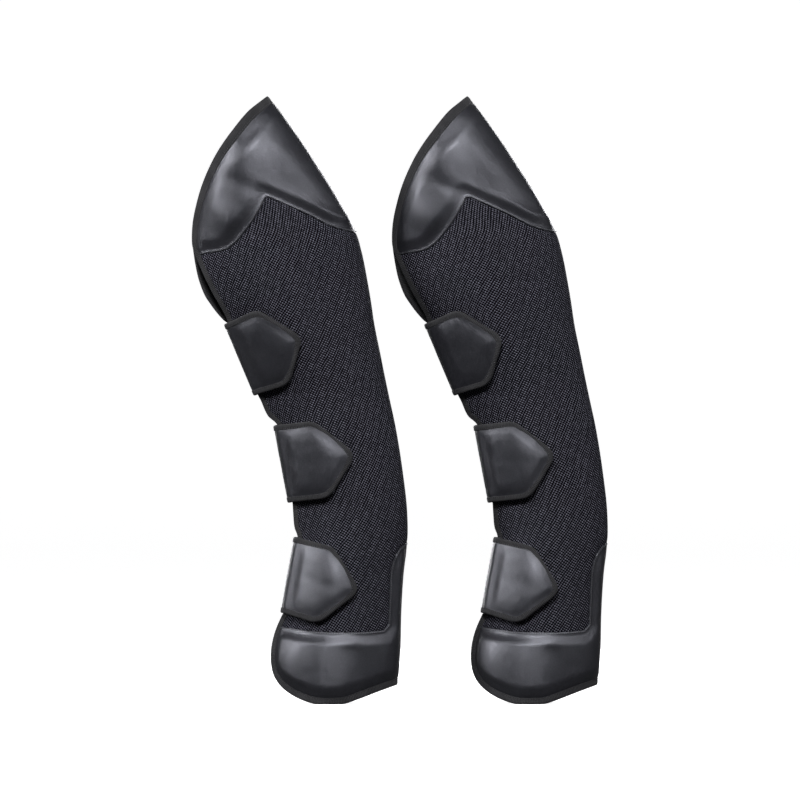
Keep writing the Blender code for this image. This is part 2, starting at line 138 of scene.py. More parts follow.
# Extra rows of points: inside the tape, on both sides of a seam, along the spine.
RIM_ROWS = (0.0, 1.2, 3.2)
SEAM_ROWS = (-2.2, -0.9, 0.45, -0.45, 0.9, 2.1, 3.3, 5.5, 8.0, -3.3, -5.5, -8.0)
SPINE_ROWS = (0.5, 1.2, 2.6)
TUCK = 2.4                 # panels stop this far inside the rim, under the tape
LENS_SOFT = 0.25           # rounds the section where it passes full depth
# One leg of the binding: (distance in from the rim, height over the panel).
BINDING_LEG = ((7.0, -0.1), (6.85, 0.42), (6.3, 0.68), (5.6, 0.45), (4.9, 0.70),
               (3.5, 0.86), (2.0, 0.92), (0.8, 0.72), (0.0, 0.25))
BINDING_FOLDS = ((-0.25, -0.9), (-0.4, -2.3), (-0.4, 2.3 - LAMINATE), (-0.25, 0.9 - LAMINATE))
SEAM_STEP = 0.3            # spacing of the points that distances to a seam are taken from
ON_SEAM = 0.15             # points closer to a seam than this are on it
SEAM_SINK = 0.28           # the mesh stops this far short of the leather's edge
SEAM_THREAD_IN, SEAM_THREAD_UP = 1.3, 0.95
BINDING_STITCH_IN, BINDING_STITCH_UP = 5.6, 0.47
STITCH_PITCH, STITCH_LENGTH, STITCH_RADIUS = 2.9, 1.9, 0.32
STITCH_SIDES, STITCH_RINGS = 6, 5
# Soft swellings and hollows of the caps: height, place in the XZ plane, reach, lean.
CAP_SWELLS = {
    "top_cap": ((3.6, -36, 588, 42, 30, 0.5), (3.6, -76, 518, 19, 24, 0.0),
                (-1.1, -60, 555, 26, 11, 0.55)),
    "hoof_cap": ((3.4, -6, 46, 28, 26, 0.0),),
}
TAB_GRID = 2.2             # spacing of a tab's inner points
TAB_CROWN = 1.7            # how far the padded middle of a tab swells
TAB_CREASE = (0.15, 0.2, 0.35)    # depth of the crease across each tab
TAB_STITCH_IN = TAB_BINDING - 1.3
TAB_LEG = ((TAB_BINDING, -0.2), (TAB_BINDING - 0.15, 0.30), (TAB_BINDING - 0.6, 0.50),
           (TAB_BINDING - 1.3, 0.28), (TAB_BINDING - 2.0, 0.48), (2.4, 0.50), (1.2, 0.40),
           (0.35, 0.05))
TAB_FOLDS = ((-0.15, 0.25), (-0.3, 0.5), (-0.15, 0.75))    # (past the edge, part of thickness)
BOX_NEAR, BOX_FAR, BOX_INSET = 8.0, 26.0, 8.0    # box of stitches on a strap's base
STRAP_PIECES = (    # name, material, CAD nodes it replaces, fill
    ("leather", "leather", ("tab", "base"), 0.55),
    ("tape", "tape", ("tab_binding",), None),
    ("stitching", "thread", (), None),
)
FOLD_SLACK = 1.3           # moves the bend of a strap toward the tab's side
CORNER_RADII = (4.0, 30.0, 22.0, 14.0, 22.0, 30.0, 4.0)
YARN_ROWS = ((56.0, 0.00247), (147.0, 0.00250), (163.5, 0.00255))    # angle, pitch in m
DOME_RADIUS, DOME_BEND, DOME_HEIGHT, DOME_SIDES = 17.0, 2.0, 8.0, 96
DOME_GLOW = 0.93
WORLD_LIGHT, WORLD_COLOUR = 0.07, (0.97, 0.98, 1.0)
LAMP_AWAY, BOOT_MIDDLE, LAMP_COLOUR = 3.0, 0.35, (0.98, 0.975, 1.0)
LAMPS = (    # name, azimuth, elevation, size, power
    ("key_front", -6, 30, (0.7, 0.5), 82), ("side_left", -79, 20, (0.4, 1.0), 62),
    ("top_right", 36, 44, (0.9, 0.6), 36), ("side_right", 72, 20, (0.6, 1.0), 12),
    ("back_left", -165, 8, (1.2, 0.9), 24), ("back_right", 165, 8, (1.2, 0.9), 24),
)
CAMERA_AWAY, CAMERA_LENS, CAMERA_HEIGHT, CAMERA_SIDE = 14.0, 587.4, 0.3252, 0.54


# ---- curves
def smooth01(t):
    t = np.clip(t, 0.0, 1.0)
    return t * t * (3 - 2 * t)


def pchip(xs, ys):
    """Monotone cubic through points, as a function of arrays."""
    step = np.diff(xs)
    rise = np.diff(ys) / step
    slope = np.empty_like(ys)
    slope[1:-1] = (step[1:] * rise[:-1] + step[:-1] * rise[1:]) / (step[1:] + step[:-1])
    slope[0], slope[-1] = rise[0], rise[-1]

    def at(x):
        x = np.asarray(x, float)
        i = np.clip(np.searchsorted(xs, x) - 1, 0, len(xs) - 2)
        t = (x - xs[i]) / step[i]
        t = np.clip(t, -0.5, 1.5)
        a = 2 * t ** 3 - 3 * t ** 2 + 1
        b = t ** 3 - 2 * t ** 2 + t
        c = -2 * t ** 3 + 3 * t ** 2
        d = t ** 3 - t ** 2
        return a * ys[i] + b * step[i] * slope[i] + c * ys[i + 1] + d * step[i] * slope[i + 1]

    return at


def spline(points, step=0.6):
    """Centripetal Catmull-Rom curve through points, resampled evenly."""
    p = np.asarray(points, float)
    p = np.vstack((2 * p[0] - p[1], p, 2 * p[-1] - p[-2]))
    out = []
    for i in range(1, len(p) - 2):
        near = p[i - 1:i + 3]
        knots = [0.0]
        for a, b in zip(near, near[1:]):
            knots.append(knots[-1] + math.sqrt(np.linalg.norm(b - a)))
        t = np.linspace(knots[1], knots[2], 24, endpoint=False)[:, None]
        for spans in (((0, 1), (1, 2), (2, 3)), ((0, 2), (1, 3)), ((1, 2),)):
            mixed = []
            for k, (a, b) in enumerate(spans):
                wide = knots[b] - knots[a]
                mixed.append((knots[b] - t) / wide * near[k] + (t - knots[a]) / wide * near[k + 1])
            near = mixed
        out.append(near[0])
    out.append(p[-2][None])
    return resample(np.vstack(out), step)


def lengths(path):
    run = np.linalg.norm(np.diff(path, axis=0), axis=1)
    return np.concatenate(([0.0], np.cumsum(run)))


def interpolate(places, along, rows):
    return np.stack([np.interp(places, along, column) for column in rows.T], 1)


def resample(path, step):
    along = lengths(path)
    count = max(2, int(round(along[-1] / step)) + 1)
    return interpolate(np.linspace(0, along[-1], count), along, path)


def unit(v):
    return v / np.linalg.norm(v, axis=-1, keepdims=True)


def turned_left(run):
    run = unit(run)
    return np.stack((-run[:, 1], run[:, 0]), 1)


def left_normals(path):
    """Unit normals on the left-hand side of a plane path."""
    return turned_left(np.gradient(path, axis=0))


# ---- leg tube
spine_x = pchip(TUBE_ROWS[:, 0], TUBE_ROWS[:, 1])
edge_x = pchip(TUBE_ROWS[:, 0], TUBE_ROWS[:, 2])
half_depth = pchip(TUBE_ROWS[:, 0], TUBE_ROWS[:, 3])


def lens(t):
    """Fall of the section from full depth to the open edge, 0 to 1."""
    power = LENS_POWER / 2
    soft = LENS_SOFT ** 2
    return ((t * t + soft) ** power - soft ** power) / ((1 + soft) ** power - soft ** power)


def tube(station, z):
    """Points of the outside: station 0 at the spine, 1 at full depth, 2 at the open edge."""
    spine = spine_x(z)
    edge = edge_x(z) - EDGE_MARGIN
    depth = half_depth(z)
    turn = np.minimum(station, 1.0) * math.pi / 2
    far = np.maximum(station - 1.0, 0.0)
    across = np.where(station <= 1.0, 0.5 + 0.5 * np.cos(turn), 0.5 - far / 2)
    y = np.where(station <= 1.0, depth * np.sin(turn), depth - (depth - EDGE_DEPTH) * lens(far))
    return np.stack((edge + (spine - edge) * across, -y, z + 0 * y), -1)


def tube_normal(station, z):
    along = tube(station + 0.03, z) - tube(station - 0.03, z)
    up = tube(station, z + 4) - tube(station, z - 4)
    return unit(np.cross(up, along))


def station_of(x, z):
    edge = edge_x(z) - EDGE_MARGIN
    across = (x - edge) / (spine_x(z) - edge)
    near = np.arccos(np.clip(2 * across - 1, -1, 1)) * 2 / math.pi
    return np.where(across >= 0.5, near, 2 * (1 - across))


# Distance round the tube from the spine: rows are heights, columns are stations.
HEIGHTS = np.arange(-24.0, 690.0, 3.0)
STATIONS = np.linspace(0.0, 2.1, 127)
RUNS = np.linalg.norm(np.diff(tube(*np.meshgrid(STATIONS, HEIGHTS)), axis=1), axis=2)
ARC = np.concatenate((np.zeros((len(HEIGHTS), 1)), np.cumsum(RUNS, axis=1)), 1)
EVEN = np.linspace(0.0, 1.0, 161)
INVERSE = np.array([np.interp(EVEN * row[-1], row, STATIONS) for row in ARC])


def sample(table, rows, columns):
    """Bilinear value of a table at fractional rows and columns."""
    rows = np.clip(rows, 0, table.shape[0] - 1.001)
    columns = np.clip(columns, 0, table.shape[1] - 1.001)
    i, j = rows.astype(int), columns.astype(int)
    a, b = rows - i, columns - j
    if table.ndim == 3:
        a, b = a[:, None], b[:, None]
    low = table[i, j] * (1 - b) + table[i, j + 1] * b
    high = table[i + 1, j] * (1 - b) + table[i + 1, j + 1] * b
    return low * (1 - a) + high * a


def height_row(z):
    return (z - HEIGHTS[0]) / (HEIGHTS[1] - HEIGHTS[0])


def to_flat(xz):
    """Places in the XZ plane as (distance round from the spine, height)."""
    x, z = np.asarray(xz, float).T
    column = station_of(x, z) / (STATIONS[1] - STATIONS[0])
    return np.stack((sample(ARC, height_row(z), column), z), 1)


def flat_station(flat):
    row = height_row(flat[:, 1])
    whole = sample(ARC, row, np.full(len(flat), ARC.shape[1] - 1.0))
    return sample(INVERSE, row, np.clip(flat[:, 0] / whole, 0, 1) * (len(EVEN) - 1))


def surface(flat, offset, side):
    """Points of a half, offset outward from the tube; inward moves thin at the open edge."""
    station = flat_station(flat)
    z = flat[:, 1]
    offset = offset + np.zeros(len(flat))
    fade = smooth01((station - 1.6) / 0.32)
    offset = np.where(offset < 0, offset * (1 - (1 - EDGE_PINCH) * fade), offset)
    point = tube(station, z) + tube_normal(station, z) * offset[:, None]
    point[:, 1] = np.minimum(point[:, 1], 0.0) - HALF_GAP
    if side == INNER:
        point[:, 1] *= -1
    return point


def rim_points(tag):
    return spline(RIM_BELOW + RIM_OVER_STRAP[tag] + RIM_ABOVE)


def cut_at_spine(xz):
    """Keep the part of a path that is on the tube, with its ends on the spine line."""
    over = xz[:, 0] - spine_x(xz[:, 1])
    keep = np.where(over < 0)[0]
    first, last = keep[0], keep[-1]
    path = to_flat(xz[first:last + 1])
    if first > 0:
        path = np.vstack(((0.0, xz[first - 1, 1]), path))
    if last < len(xz) - 1:
        path = np.vstack((path, (0.0, xz[last + 1, 1])))
    return path


def distance(points, path):
    """Distance from points to a densely sampled path, with the nearest index."""
    best = np.zeros(len(points))
    index = np.zeros(len(points), int)
    for start in range(0, len(points), BLOCK):
        part = slice(start, start + BLOCK)
        gap = ((points[part][:, None, :] - path[None]) ** 2).sum(2)
        index[part] = gap.argmin(1)
        best[part] = np.sqrt(gap.min(1))
    return best, index


def inside(points, polygon):
    hit = np.zeros(len(points), bool)
    x, y = points[:, 0], points[:, 1]
    for (x1, y1), (x2, y2) in zip(polygon, np.roll(polygon, -1, axis=0)):
        if y1 == y2:
            continue
        crosses = (y1 > y) != (y2 > y)
        hit ^= crosses & (x < (x2 - x1) * (y - y1) / (y2 - y1) + x1)
    return hit


# ---- triangulation
def triangulate(boundary, seams, rows, grid=GRID):
    """Even triangles inside a boundary, with edges along the seams.

    rows are extra lines of points, such as copies of the boundary moved inward.
    """
    fixed = [resample(np.vstack((boundary, boundary[:1])), grid * 0.8)[:-1]]
    count = len(fixed[0])
    edges = [(i, (i + 1) % count) for i in range(count)]
    for seam in seams:
        line = resample(seam, grid * 0.8)
        edges += [(count + i, count + i + 1) for i in range(len(line) - 1)]
        fixed.append(line)
        count += len(line)
    taken = np.vstack(fixed)
    loose = []
    for row in rows:
        line = resample(row, grid * 0.8)
        line = line[inside(line, boundary)]
        if len(line):
            line = line[distance(line, taken)[0] > 0.7]
        if len(line):
            loose.append(line)
            taken = np.vstack((taken, line))
    low, high = boundary.min(0), boundary.max(0)
    y = np.arange(low[1], high[1], grid * 0.866)
    x = np.arange(low[0], high[0], grid)
    gx, gy = np.meshgrid(x, y)
    gx = gx + (np.arange(len(y)) % 2 * grid / 2)[:, None]
    hexes = np.stack((gx.ravel(), gy.ravel()), 1)
    hexes = hexes[inside(hexes, boundary)]
    hexes = hexes[distance(hexes, taken)[0] > grid * 0.62]
    points = np.vstack((*fixed, *loose, hexes))
    verts, _, faces, *_ = delaunay_2d_cdt(
        [Vector(p) for p in points], edges, [], 0, 1e-4, False)
    verts = np.array([(v.x, v.y) for v in verts])
    faces = np.array([f for f in faces if len(f) == 3])
    middle = verts[faces].mean(1)
    faces = faces[inside(middle, boundary)]
    a, b, c = (verts[faces[:, k]] for k in range(3))
    turn = (b[:, 0] - a[:, 0]) * (c[:, 1] - a[:, 1]) - (b[:, 1] - a[:, 1]) * (c[:, 0] - a[:, 0])
    faces[turn < 0] = faces[turn < 0][:, ::-1]
    return verts, faces[np.abs(turn) > 1e-6]


def borders(faces):
    """Directed edges that only one face uses."""
    pairs = np.vstack((faces[:, [0, 1]], faces[:, [1, 2]], faces[:, [2, 0]]))
    codes = pairs[:, 0] * 10 ** 7 + pairs[:, 1]
    back = pairs[:, 1] * 10 ** 7 + pairs[:, 0]
    return pairs[~np.isin(codes, back)]


def pick(verts, faces, chosen):
    """The chosen faces with only their own points."""
    used = np.unique(faces[chosen])
    renumber = np.full(len(verts), -1)
    renumber[used] = np.arange(len(used))
    return used, renumber[faces[chosen]]


def add_object(name, data):
    made = bpy.data.objects.new(name, data)
    bpy.context.scene.collection.objects.link(made)
    return made


class Shape:
    """Points in mm, faces and UVs of one piece, in the boot's own frame."""

    def __init__(self):
        self.points, self.faces, self.uvs = [], [], []
        self.count = 0

    def add(self, points, faces, uv):
        self.points.append(np.asarray(points, float))
        self.uvs.append(np.asarray(uv, float))
        self.faces += [tuple(int(k) + self.count for k in f) for f in faces]
        self.count += len(points)

    def build(self, name, mat, boot):
        points = np.vstack(self.points) * MM
        uvs = np.vstack(self.uvs) * MM
        points[:, 0] += (PAIR_SHIFT + (-0.5 if boot == "left" else 0.5) * BOOT_SPACING) * MM
        mesh = bpy.data.meshes.new(name)
        mesh.from_pydata(points.tolist(), [], self.faces)
        layer = mesh.uv_layers.new(name="cloth")
        loops = np.empty(len(mesh.loops), int)
        mesh.loops.foreach_get("vertex_index", loops)
        layer.data.foreach_set("uv", uvs[loops].ravel())
        mesh.validate()
        mesh.shade_smooth()
        mesh.set_sharp_from_angle(angle=math.radians(SMOOTH_ANGLE))
        mesh.materials.append(mat)
        return add_object(name, mesh)


def turned_out(shape):
    """Make a closed shape's faces point outward."""
    points = np.vstack(shape.points)
    total = 0.0
    for size in (3, 4):
        faces = np.array([f for f in shape.faces if len(f) == size])
        for k in range(1, size - 1 if len(faces) else 1):
            a, b, c = points[faces[:, 0]], points[faces[:, k]], points[faces[:, k + 1]]
            total += (a * np.cross(b, c)).sum()
    if total < 0:
        shape.faces = [f[::-1] for f in shape.faces]
    return shape


def slab(top, under, faces, uv, flip=False):
    """Close two matching sheets with walls; flip turns the faces over."""
    count = len(top)
    front = faces[:, ::-1] if flip else faces
    walls = [(b, a, a + count, b + count) for a, b in borders(front)]
    back = front[:, ::-1] + count
    shape = Shape()
    shape.add(np.vstack((top, under)), [*map(tuple, front), *map(tuple, back), *walls],
              np.vstack((uv, uv)))
    return turned_out(shape)


def sweep(rings, along, profile, closed=False):
    """Tape through rings of points; on a closed path the last ring repeats the first."""
    rings = np.array(rings).transpose(1, 0, 2)
    n, m = rings.shape[:2]
    around = lengths(np.array([p[:2] for p in profile], float))
    uv = np.stack(np.broadcast_arrays(along[:, None], around[None, :]), -1)
    i, j = np.meshgrid(np.arange(n - 1), np.arange(m), indexing="ij")
    k = (j + 1) % m
    after = (i + 1) % (n - 1) if closed else i + 1
    quads = np.stack((i * m + j, i * m + k, after * m + k, after * m + j), -1).reshape(-1, 4)
    faces = [tuple(q) for q in quads]
    if closed:
        rings, uv = rings[:-1], uv[:-1]
    else:
        faces.append(tuple(range(m - 1, -1, -1)))
        faces.append(tuple((n - 1) * m + q for q in range(m)))
    shape = Shape()
    shape.add(rings.reshape(-1, 3), faces, uv.reshape(-1, 2))
    return turned_out(shape)


def add_stitches(shape, centres, normals, pitch=STITCH_PITCH, length=STITCH_LENGTH):
    """A row of thread stitches, each an arched bead that dives in at both ends."""
    runs = np.gradient(centres, axis=0)
    along = lengths(centres)
    count = int(along[-1] / pitch)
    if count < 1:
        return
    places = (np.arange(count) + 0.5) * along[-1] / count
    spots = [interpolate(places, along, rows) for rows in (centres, runs, normals)]
    bend = np.linspace(-1, 1, STITCH_RINGS)
    sides = STITCH_SIDES
    ring = np.arange(sides) * 2 * math.pi / sides
    thick = STITCH_RADIUS * np.sqrt(np.clip(1.06 - bend ** 2, 0.05, 1))
    for centre, run, normal in zip(*spots):
        run = run / np.linalg.norm(run)
        normal = normal - run * np.dot(normal, run)
        normal /= np.linalg.norm(normal)
        across = np.cross(run, normal)
        points = []
        for t, r in zip(bend, thick):
            rise = STITCH_RADIUS * 0.7 * (1 - t * t) - 0.1
            middle = centre + run * (t * length / 2) + normal * rise
            for a in ring:
                points.append(middle + across * (math.cos(a) * r) + normal * (math.sin(a) * r))
        faces = []
        for i in range(len(bend) - 1):
            for j in range(sides):
                k = (j + 1) % sides
                low, high = i * sides, (i + 1) * sides
                faces.append((low + j, low + k, high + k, high + j))
        faces.append(tuple(range(sides - 1, -1, -1)))
        faces.append(tuple((len(bend) - 1) * sides + j for j in range(sides)))
        shape.add(points, [f[::-1] for f in faces], np.zeros((len(points), 2)))


# ---- materials
class Nodes:
    """Small helper for writing a node tree as expressions."""

    def __init__(self, name):
        self.material = bpy.data.materials.new(name)
        self.material.use_nodes = True
        self.tree = self.material.node_tree
        self.shader = self.tree.nodes["Principled BSDF"]
        self.place = self.node("ShaderNodeTexCoord").outputs["Object"]

    def node(self, kind, inputs=(), **settings):
        made = self.tree.nodes.new(kind)
        for key, value in settings.items():
            setattr(made, key, value)
        for key, value in dict(inputs).items():
            self.put(made.inputs[key], value)
        return made

    def put(self, socket, value):
        """Link a socket, or set it to a number or an (r, g, b) colour."""
        if isinstance(value, bpy.types.NodeSocket):
            self.tree.links.new(value, socket)
        else:
            socket.default_value = (*value, 1.0) if isinstance(value, tuple) else value

    def finish(self, **sockets):
        """Set the shader's sockets, named with _ for spaces, and return the material."""
        for name, value in sockets.items():
            self.put(self.shader.inputs[name.replace("_", " ")], value)
        return self.material

    def math(self, operation, *values):
        return self.node("ShaderNodeMath", enumerate(values), operation=operation).outputs[0]

    def ramp(self, value, low, high, to_low=0.0, to_high=1.0, smooth=True):
        made = self.node("ShaderNodeMapRange", enumerate((value, low, high, to_low, to_high)),
                         clamp=True, interpolation_type="SMOOTHSTEP" if smooth else "LINEAR")
        return made.outputs[0]

    def noise(self, scale, detail, rough=0.5):
        made = self.node("ShaderNodeTexNoise", {"Vector": self.place, "Scale": scale,
                                                "Detail": detail, "Roughness": rough})
        return made.outputs[0]

    def mix(self, factor, a, b):
        return self.node("ShaderNodeMix", {0: factor, 6: a, 7: b}, data_type="RGBA").outputs[2]

    def uv(self):
        made = self.node("ShaderNodeUVMap", uv_map="cloth")
        return self.node("ShaderNodeSeparateXYZ", {0: made.outputs[0]}).outputs[:2]

    def bump(self, height, strength, depth, before=None):
        inputs = {"Height": height, "Strength": strength, "Distance": depth}
        if before is not None:
            inputs["Normal"] = before
        return self.node("ShaderNodeBump", inputs).outputs[0]


def leather():
    n = Nodes("boot_leather")
    cells = n.node("ShaderNodeTexVoronoi", {"Vector": n.place, "Scale": 1150.0, "Randomness": 1.0},
                   feature="DISTANCE_TO_EDGE").outputs["Distance"]
    creases = n.ramp(cells, 0.0, 0.22)
    pores = n.noise(2600.0, 2.0)
    broad = n.noise(16.0, 3.0)
    patchy = n.noise(90.0, 3.0)
    base = n.mix(n.ramp(broad, 0.3, 0.7), (0.0100, 0.0102, 0.0128), (0.0145, 0.0148, 0.0180))
    base = n.mix(n.math("MULTIPLY", creases, 0.5), (0.006, 0.0061, 0.0076), base)
    worn = n.ramp(n.noise(800.0, 2.0), 0.35, 0.65, 0.0, 0.5)
    base = n.mix(worn, base, (0.025, 0.0255, 0.0300))
    rough = n.math("ADD", n.ramp(patchy, 0.25, 0.75, 0.31, 0.38),
                   n.ramp(pores, 0.3, 0.7, -0.03, 0.05))
    height = n.math("ADD", n.math("MULTIPLY", creases, 0.6), n.math("MULTIPLY", pores, 0.5))
    soft = n.bump(n.noise(55.0, 2.0), 0.35, 0.0009)
    return n.finish(Base_Color=base, Roughness=rough, Specular_IOR_Level=0.92,
                    Specular_Tint=(0.90, 0.915, 1.0),
                    Normal=n.bump(height, 0.40, 0.00022, soft))


def spacer_mesh():
    n = Nodes("boot_spacer_mesh")
    u, v = n.uv()
    u = n.math("ADD", u, n.ramp(n.noise(22.0, 1.0), 0.2, 0.8, -0.0020, 0.0020, False))
    v = n.math("ADD", v, n.ramp(n.noise(260.0, 1.0), 0.2, 0.8, -0.0002, 0.0002, False))

    def rows(angle, pitch):
        """Cosine rows of yarn running at an angle."""
        turn, waves = math.radians(angle), 2 * math.pi / pitch
        side = n.math("MULTIPLY", u, -math.sin(turn) * waves)
        return n.math("COSINE", n.math("MULTIPLY_ADD", v, math.cos(turn) * waves, side))

    steep, low, cross = (rows(*row) for row in YARN_ROWS)
    yarn = n.math("MULTIPLY_ADD", cross, 0.50, n.math("ADD", steep, low))
    fibre = n.noise(2600.0, 2.0)
    patchy = n.ramp(n.noise(380.0, 1.0), 0.3, 0.7, 0.45, 1.0)
    # Bright yarn middles: the mesh's own yarn pattern, with painted light on the rounded yarns.
    yarn_painted_light = n.math("MULTIPLY", n.ramp(yarn, 0.25, 1.45), patchy)
    thread_tone = n.mix(n.ramp(fibre, 0.3, 0.7), (0.108, 0.108, 0.136), (0.190, 0.190, 0.228))
    # Near-black in the holes and grooves between the yarns: partly the mesh's own dark pattern,
    # partly painted shade.
    body = n.mix(n.ramp(yarn, -0.9, 0.5), (0.0008, 0.0008, 0.0014), (0.011, 0.011, 0.015))
    return n.finish(Base_Color=n.mix(yarn_painted_light, body, thread_tone),
                    Roughness=n.ramp(yarn, -0.5, 1.5, 0.95, 0.6), Specular_IOR_Level=0.04,
                    Normal=n.bump(n.ramp(yarn, -1.0, 2.0), 0.8, 0.0007))


def ribbed_tape():
    n = Nodes("boot_binding_tape")
    u, v = n.uv()
    shift = n.noise(300.0, 1.0)
    u = n.math("ADD", u, n.ramp(shift, 0.2, 0.8, -0.0002, 0.0002, False))
    ribs = n.math("SINE", n.math("MULTIPLY", u, 2 * math.pi / 0.0018))
    rows = n.math("SINE", n.math("MULTIPLY", v, 2 * math.pi / 0.0007))
    weave = n.math("MULTIPLY", n.ramp(ribs, -1.0, 1.0), n.ramp(rows, -1.0, 1.0, 0.55, 1.0))
    fuzz = n.noise(2400.0, 3.0)
    worn = n.noise(60.0, 3.0)
    base = n.mix(weave, (0.003, 0.003, 0.0034), (0.034, 0.034, 0.037))
    base = n.mix(n.ramp(worn, 0.35, 0.75, 0.0, 0.3), base, (0.045, 0.045, 0.047))
    return n.finish(Base_Color=base, Roughness=n.ramp(fuzz, 0.3, 0.7, 0.72, 0.9),
                    Specular_IOR_Level=0.3, Sheen_Weight=0.05,
                    Normal=n.bump(n.math("MULTIPLY_ADD", fuzz, 0.3, weave), 0.7, 0.0004))


def knit(name, low, high, scale, sheen, depth):
    n = Nodes(name)
    fuzz = n.noise(scale, 4.0, 0.65)
    broad = n.noise(30.0, 2.0)
    cells = n.node("ShaderNodeTexVoronoi", {"Vector": n.place, "Scale": scale * 0.7})
    mixed = n.math("MULTIPLY_ADD", cells.outputs["Distance"], 0.6, fuzz)
    base = n.mix(n.ramp(mixed, 0.35, 1.0), low, high)
    base = n.mix(n.ramp(broad, 0.35, 0.7, 0.0, 0.4), base, low)
    return n.finish(Base_Color=base, Roughness=n.ramp(fuzz, 0.3, 0.7, 0.82, 0.98),
                    Specular_IOR_Level=0.2, Sheen_Weight=sheen,
                    Normal=n.bump(mixed, 0.8, depth))


def thread(name, low, high):
    n = Nodes(name)
    strands = n.node("ShaderNodeTexWave", {"Vector": n.place, "Scale": 900.0,
                                           "Distortion": 2.0}).outputs[1]
    return n.finish(Base_Color=n.mix(strands, low, high),
                    Roughness=n.ramp(strands, 0.0, 1.0, 0.5, 0.62),
                    Normal=n.bump(strands, 0.5, 0.0002))


MATS = {
    "leather": leather(),
    "mesh": spacer_mesh(),
    "tape": ribbed_tape(),
    "lining": knit("boot_lining", (0.008, 0.008, 0.010), (0.034, 0.034, 0.040),
                   1500.0, 0.15, 0.0004),
    "hook": knit("boot_hook_tape", (0.004, 0.004, 0.004), (0.05, 0.05, 0.052),
                 900.0, 0.0, 0.0008),
    "loop": knit("boot_loop_tape", (0.006, 0.006, 0.007), (0.03, 0.03, 0.033),
                 1100.0, 0.3, 0.0007),
    "thread": thread("boot_thread", (0.004, 0.004, 0.005), (0.030, 0.030, 0.034)),
    # Light seam thread colour: painted highlight standing in for the leather's lip catching the
    # light along the seams.
    "seam_thread_painted_highlight": thread("boot_seam_thread", (0.06, 0.062, 0.07), (0.17, 0.175, 0.19)),
}


def place_piece(shape, boot, name, kind, nodes=(), pad=None, blended=False):
    """Build one piece; it rides on the shell unless blended is set, when it is left unattached."""
    piece = shape.build(f"{boot}_{name}", MATS[kind], boot)
    if not blended:
        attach(piece, f"{boot}_shell")
    if nodes:
        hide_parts(*[f"{boot}_{node}" for node in nodes])
    return piece


# ---- halves
def rim_dip(inset):
    """The laminate is squeezed where the binding is sewn on."""
    return -1.3 * (1 - smooth01((inset - 3.0) / 9.0))


def wobble(flat, scale, seed):
    """Gentle repeatable ripple over a flat place, about -1 to 1."""
    u, v = flat[:, 0] / scale, flat[:, 1] / scale
    return (np.sin(u * 1.3 + seed) * np.cos(v * 1.1 - seed * 0.7)
            + 0.6 * np.sin(u * 2.3 - v * 1.9 + seed * 2.1)
            + 0.4 * np.sin(v * 3.1 + u * 0.7 - seed)) / 2


def bulge(flat, x, z, wide, tall, lean):
    """Soft round bump centred at a place in the XZ plane."""
    middle = to_flat(np.array([(x, z)]))[0]
    du, dv = flat[:, 0] - middle[0], flat[:, 1] - middle[1]
    c, s = math.cos(lean), math.sin(lean)
    a, b = du * c + dv * s, -du * s + dv * c
    return np.exp(-(a / wide) ** 2 - (b / tall) ** 2)


def leather_edge(d):
    """Turned leather edge: round lip, stitch groove, then flat."""
    lip = 0.95 * np.sqrt(np.clip(1 - (1 - np.clip(d / 0.9, 0, 1)) ** 2, 0, 1))
    groove = 0.45 * np.exp(-((d - 2.9) / 1.0) ** 2)
    return lip - groove


def cap_offset(flat, seam_gap, rim_gap, spine_gap, kind):
    """Height of a leather cap's outside above the tube."""
    roll = smooth01((seam_gap - 4.0) / 11.0)
    crest = np.exp(-((seam_gap - 13.0) / 5.5) ** 2)
    rim_roll = smooth01((rim_gap - 1.0) / 12.0)
    spine_roll = smooth01(spine_gap / 22.0)
    under_tape = smooth01((rim_gap + 0.3) / 2.4)
    rim_roll = rim_roll * (0.35 + 0.65 * spine_roll)
    out = leather_edge(seam_gap) * under_tape
    if kind == "top_cap":
        right = smooth01((90.0 - flat[:, 0]) / 45.0)
        out += roll * rim_roll * (2.2 + 0.9 * right) + crest * right * rim_roll * spine_roll * 1.4
    else:
        out += roll * rim_roll * 3.0
        out += 1.5 * bulge(flat, 53, 67, 11, 6, 0.0) * rim_roll
    for height, *place in CAP_SWELLS[kind]:
        out += height * bulge(flat, *place) * rim_roll * roll
    out += 0.25 * wobble(flat, 22.0, 0.7) * rim_roll * roll
    pucker = 0.10 * np.sin(flat[:, 0] * 1.7 + flat[:, 1] * 1.2) * np.exp(-seam_gap / 6.0)
    return (out + pucker) * (0.25 + 0.75 * smooth01(spine_gap / 26.0))


def mesh_offset(flat, seam_gap, rim_gap):
    """Height of the mesh panel's outside above the tube."""
    sink = -0.55 * np.exp(-seam_gap / 3.0) - 0.35 * np.exp(-np.clip(rim_gap, 0, None) / 5.0)
    return 0.25 + sink + 0.22 * wobble(flat, 34.0, 2.0)


def spine_roll_in(spine_gap):
    """Skins turn in to the seam between the two halves."""
    return -0.55 * (1 - np.sqrt(np.clip(1 - (1 - np.clip(spine_gap / 2.6, 0, 1)) ** 2, 0, 1)))


def seam_path(parts):
    """Seam between a cap and the mesh, on the flat cloth."""
    return cut_at_spine(np.vstack([spline(part) for part in parts]))


def upward(path):
    """Unit normals of a path, on its upper side."""
    normal = left_normals(path)
    return normal if normal[len(path) // 2, 1] > 0 else -normal


